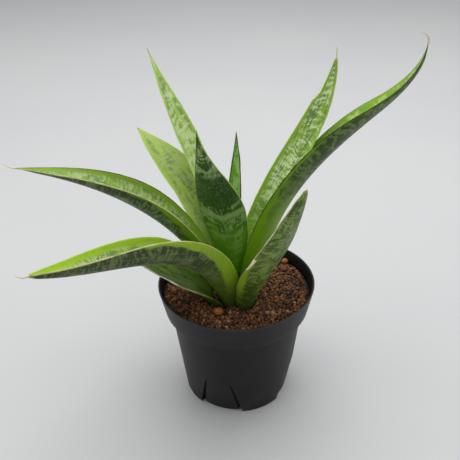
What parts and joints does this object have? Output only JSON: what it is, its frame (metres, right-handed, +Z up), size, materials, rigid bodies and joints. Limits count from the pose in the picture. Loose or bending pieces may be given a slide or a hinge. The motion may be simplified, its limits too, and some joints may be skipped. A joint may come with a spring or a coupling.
{
  "type": "potted snake plant",
  "caption": "Young snake plant with upright and arching channelled leaves, in a round black nursery pot with drainage slits, filled with clay granules.",
  "frame": {"origin": "centre of the pot's flat underside", "axes": "+Z up; +X towards the longest leaf, so that the low arched leaves run to -X; the crown stands 8 mm towards -Y"},
  "size_m": [0.261, 0.2198, 0.2786],
  "materials": {
    "pot_plastic": "satin black, lightly moulded",
    "clay_granules": "matt porous grains, 2 to 4 mm, reddish brown",
    "orange_clay": "matt porous grain, orange",
    "leaf_skin": "waxy, mottled green with grey-green cross bands and thin pale margins",
    "rhizome_skin": "dull tan skin",
    "dry_scale": "dry papery brown"
  },
  "bodies": {
    "root": {"nursery_pot": "pot_plastic", "soil": "clay_granules", "rhizome": "rhizome_skin", "leaf_inner_spear": "leaf_skin", "leaf_front_broad": "leaf_skin", "leaf_right_upright": "leaf_skin", "leaf_back_tall": "leaf_skin", "leaf_right_long": "leaf_skin", "leaf_left_arched": "leaf_skin", "leaf_back_broad": "leaf_skin", "leaf_right_short": "leaf_skin", "leaf_left_low": "leaf_skin", "leaf_left_short": "leaf_skin", "dry_sheath": "dry_scale", "pebble_orange_front": "orange_clay", "pebble_orange_back": "orange_clay", "pebble_brown_right": "clay_granules", "pebble_dark_front": "clay_granules"}
  },
  "joints": []
}
